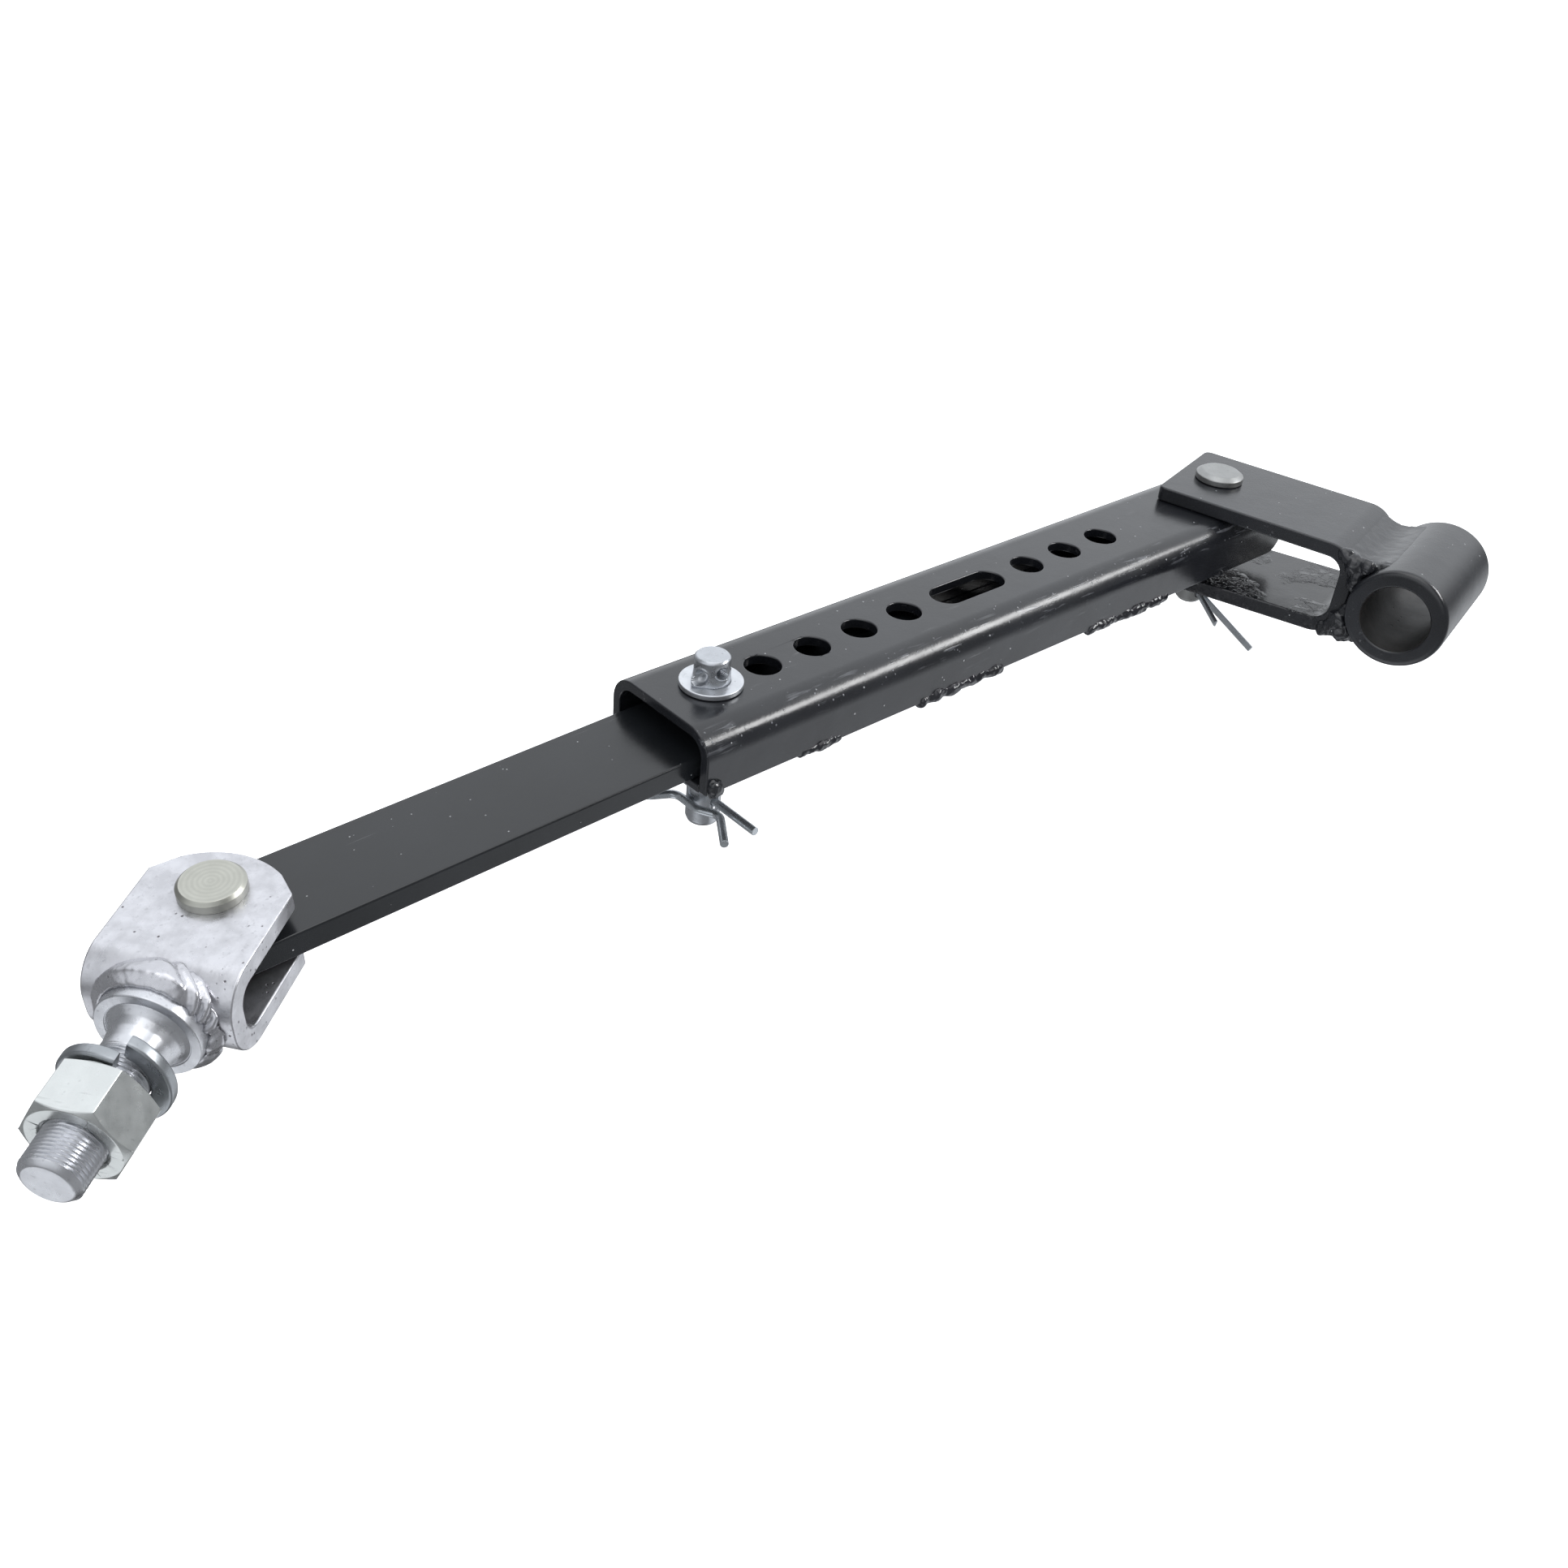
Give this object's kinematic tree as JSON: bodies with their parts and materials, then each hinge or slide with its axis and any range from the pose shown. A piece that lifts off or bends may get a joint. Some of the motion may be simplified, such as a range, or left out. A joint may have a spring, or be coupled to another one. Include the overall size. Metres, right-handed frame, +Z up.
{
  "type": "telescopic stabiliser link",
  "caption": "Telescopic linkage stabiliser: flat bar sliding in a drilled channel, threaded stud yoke at one end, forked pivot sleeve at the other.",
  "frame": {"origin": "centre of the pivot sleeve's bore", "axes": "+X along the channel from the threaded stud's end to the sleeve's end, +Z up out of the channel's flat top"},
  "size_m": [0.7722, 0.1935, 0.0962],
  "materials": {
    "charcoal_paint": "semi-gloss charcoal paint with fine specks",
    "bar_paint": "semi-gloss charcoal paint, scratched along the edges",
    "weld_paint": "lumpy weld beads under the same paint",
    "yoke_zinc": "bright zinc with casting pits and ripples",
    "rivet_nickel": "turned, warm nickel tint",
    "bright_zinc": "bright zinc plate",
    "spring_zinc": "darker zinc on spring steel",
    "clip_wire": "bright plated wire"
  },
  "bodies": {
    "outer": {"outer_channel": "charcoal_paint", "bottom_plate": "charcoal_paint", "channel_welds": "weld_paint"},
    "bar": {"inner_bar": "bar_paint"},
    "yoke": {"yoke": "yoke_zinc", "yoke_rivet": "rivet_nickel", "stud": "yoke_zinc", "yoke_weld": "yoke_zinc"},
    "spring_ring": {"lock_washer": "spring_zinc"},
    "nut": {"hex_nut": "bright_zinc"},
    "adjuster": {"adjuster_pin": "bright_zinc"},
    "washer": {"adjuster_washer": "bright_zinc"},
    "clip": {"adjuster_clip": "clip_wire"},
    "fork": {"fork": "charcoal_paint", "pivot_sleeve": "charcoal_paint", "fork_weld_upper": "weld_paint", "fork_weld_lower": "weld_paint"},
    "rear_pivot": {"rear_pin": "bright_zinc", "rear_split_pin": "clip_wire"}
  },
  "joints": [
    {"name": "bar_sway", "type": "hinge", "parent": "outer", "child": "bar", "pos_m": [-0.40348, 0.11991, 0.0185], "axis": [0, 0, 1], "range_deg": [0, 1.9]},
    {"name": "yoke_swing", "type": "hinge", "parent": "bar", "child": "yoke", "pos_m": [-0.63001, 0.12285, 0.01375], "axis": [-0.0715, -0.0442, 0.9965], "range_deg": [-143, 66]},
    {"name": "nut_feed", "type": "slide", "parent": "yoke", "child": "spring_ring", "axis": [-0.7898, -0.6076, -0.0837], "range_m": [-0.003, 0.01201]},
    {"name": "nut_turn", "type": "hinge", "parent": "spring_ring", "child": "nut", "pos_m": [-0.69939, 0.06923, -0.01639], "axis": [-0.7898, -0.6076, -0.0837], "range_deg": [-720, 2880]},
    {"name": "adjuster_lift", "type": "slide", "parent": "outer", "child": "adjuster", "axis": [0, 0, 1], "range_m": [0, 0.0225]},
    {"name": "washer_turn", "type": "hinge", "parent": "outer", "child": "washer", "pos_m": [-0.40348, 0.11991, 0.0185], "axis": [0, 0, 1], "continuous": true},
    {"name": "clip_shift", "type": "slide", "parent": "adjuster", "child": "clip", "axis": [0, 1, 0], "range_m": [-0.002, 0.002]},
    {"name": "fork_swing", "type": "hinge", "parent": "outer", "child": "fork", "pos_m": [-0.02828, 0.11991, 0.0185], "axis": [0, 0, 1], "range_deg": [-54, 207]},
    {"name": "rear_pin_turn", "type": "hinge", "parent": "outer", "child": "rear_pivot", "pos_m": [-0.02828, 0.11991, 0.0185], "axis": [0, 0, 1], "continuous": true}
  ],
  "couplings": [
    {"joint": "nut_feed", "follows": "nut_turn", "m_per_rad": 0.00023873}
  ]
}
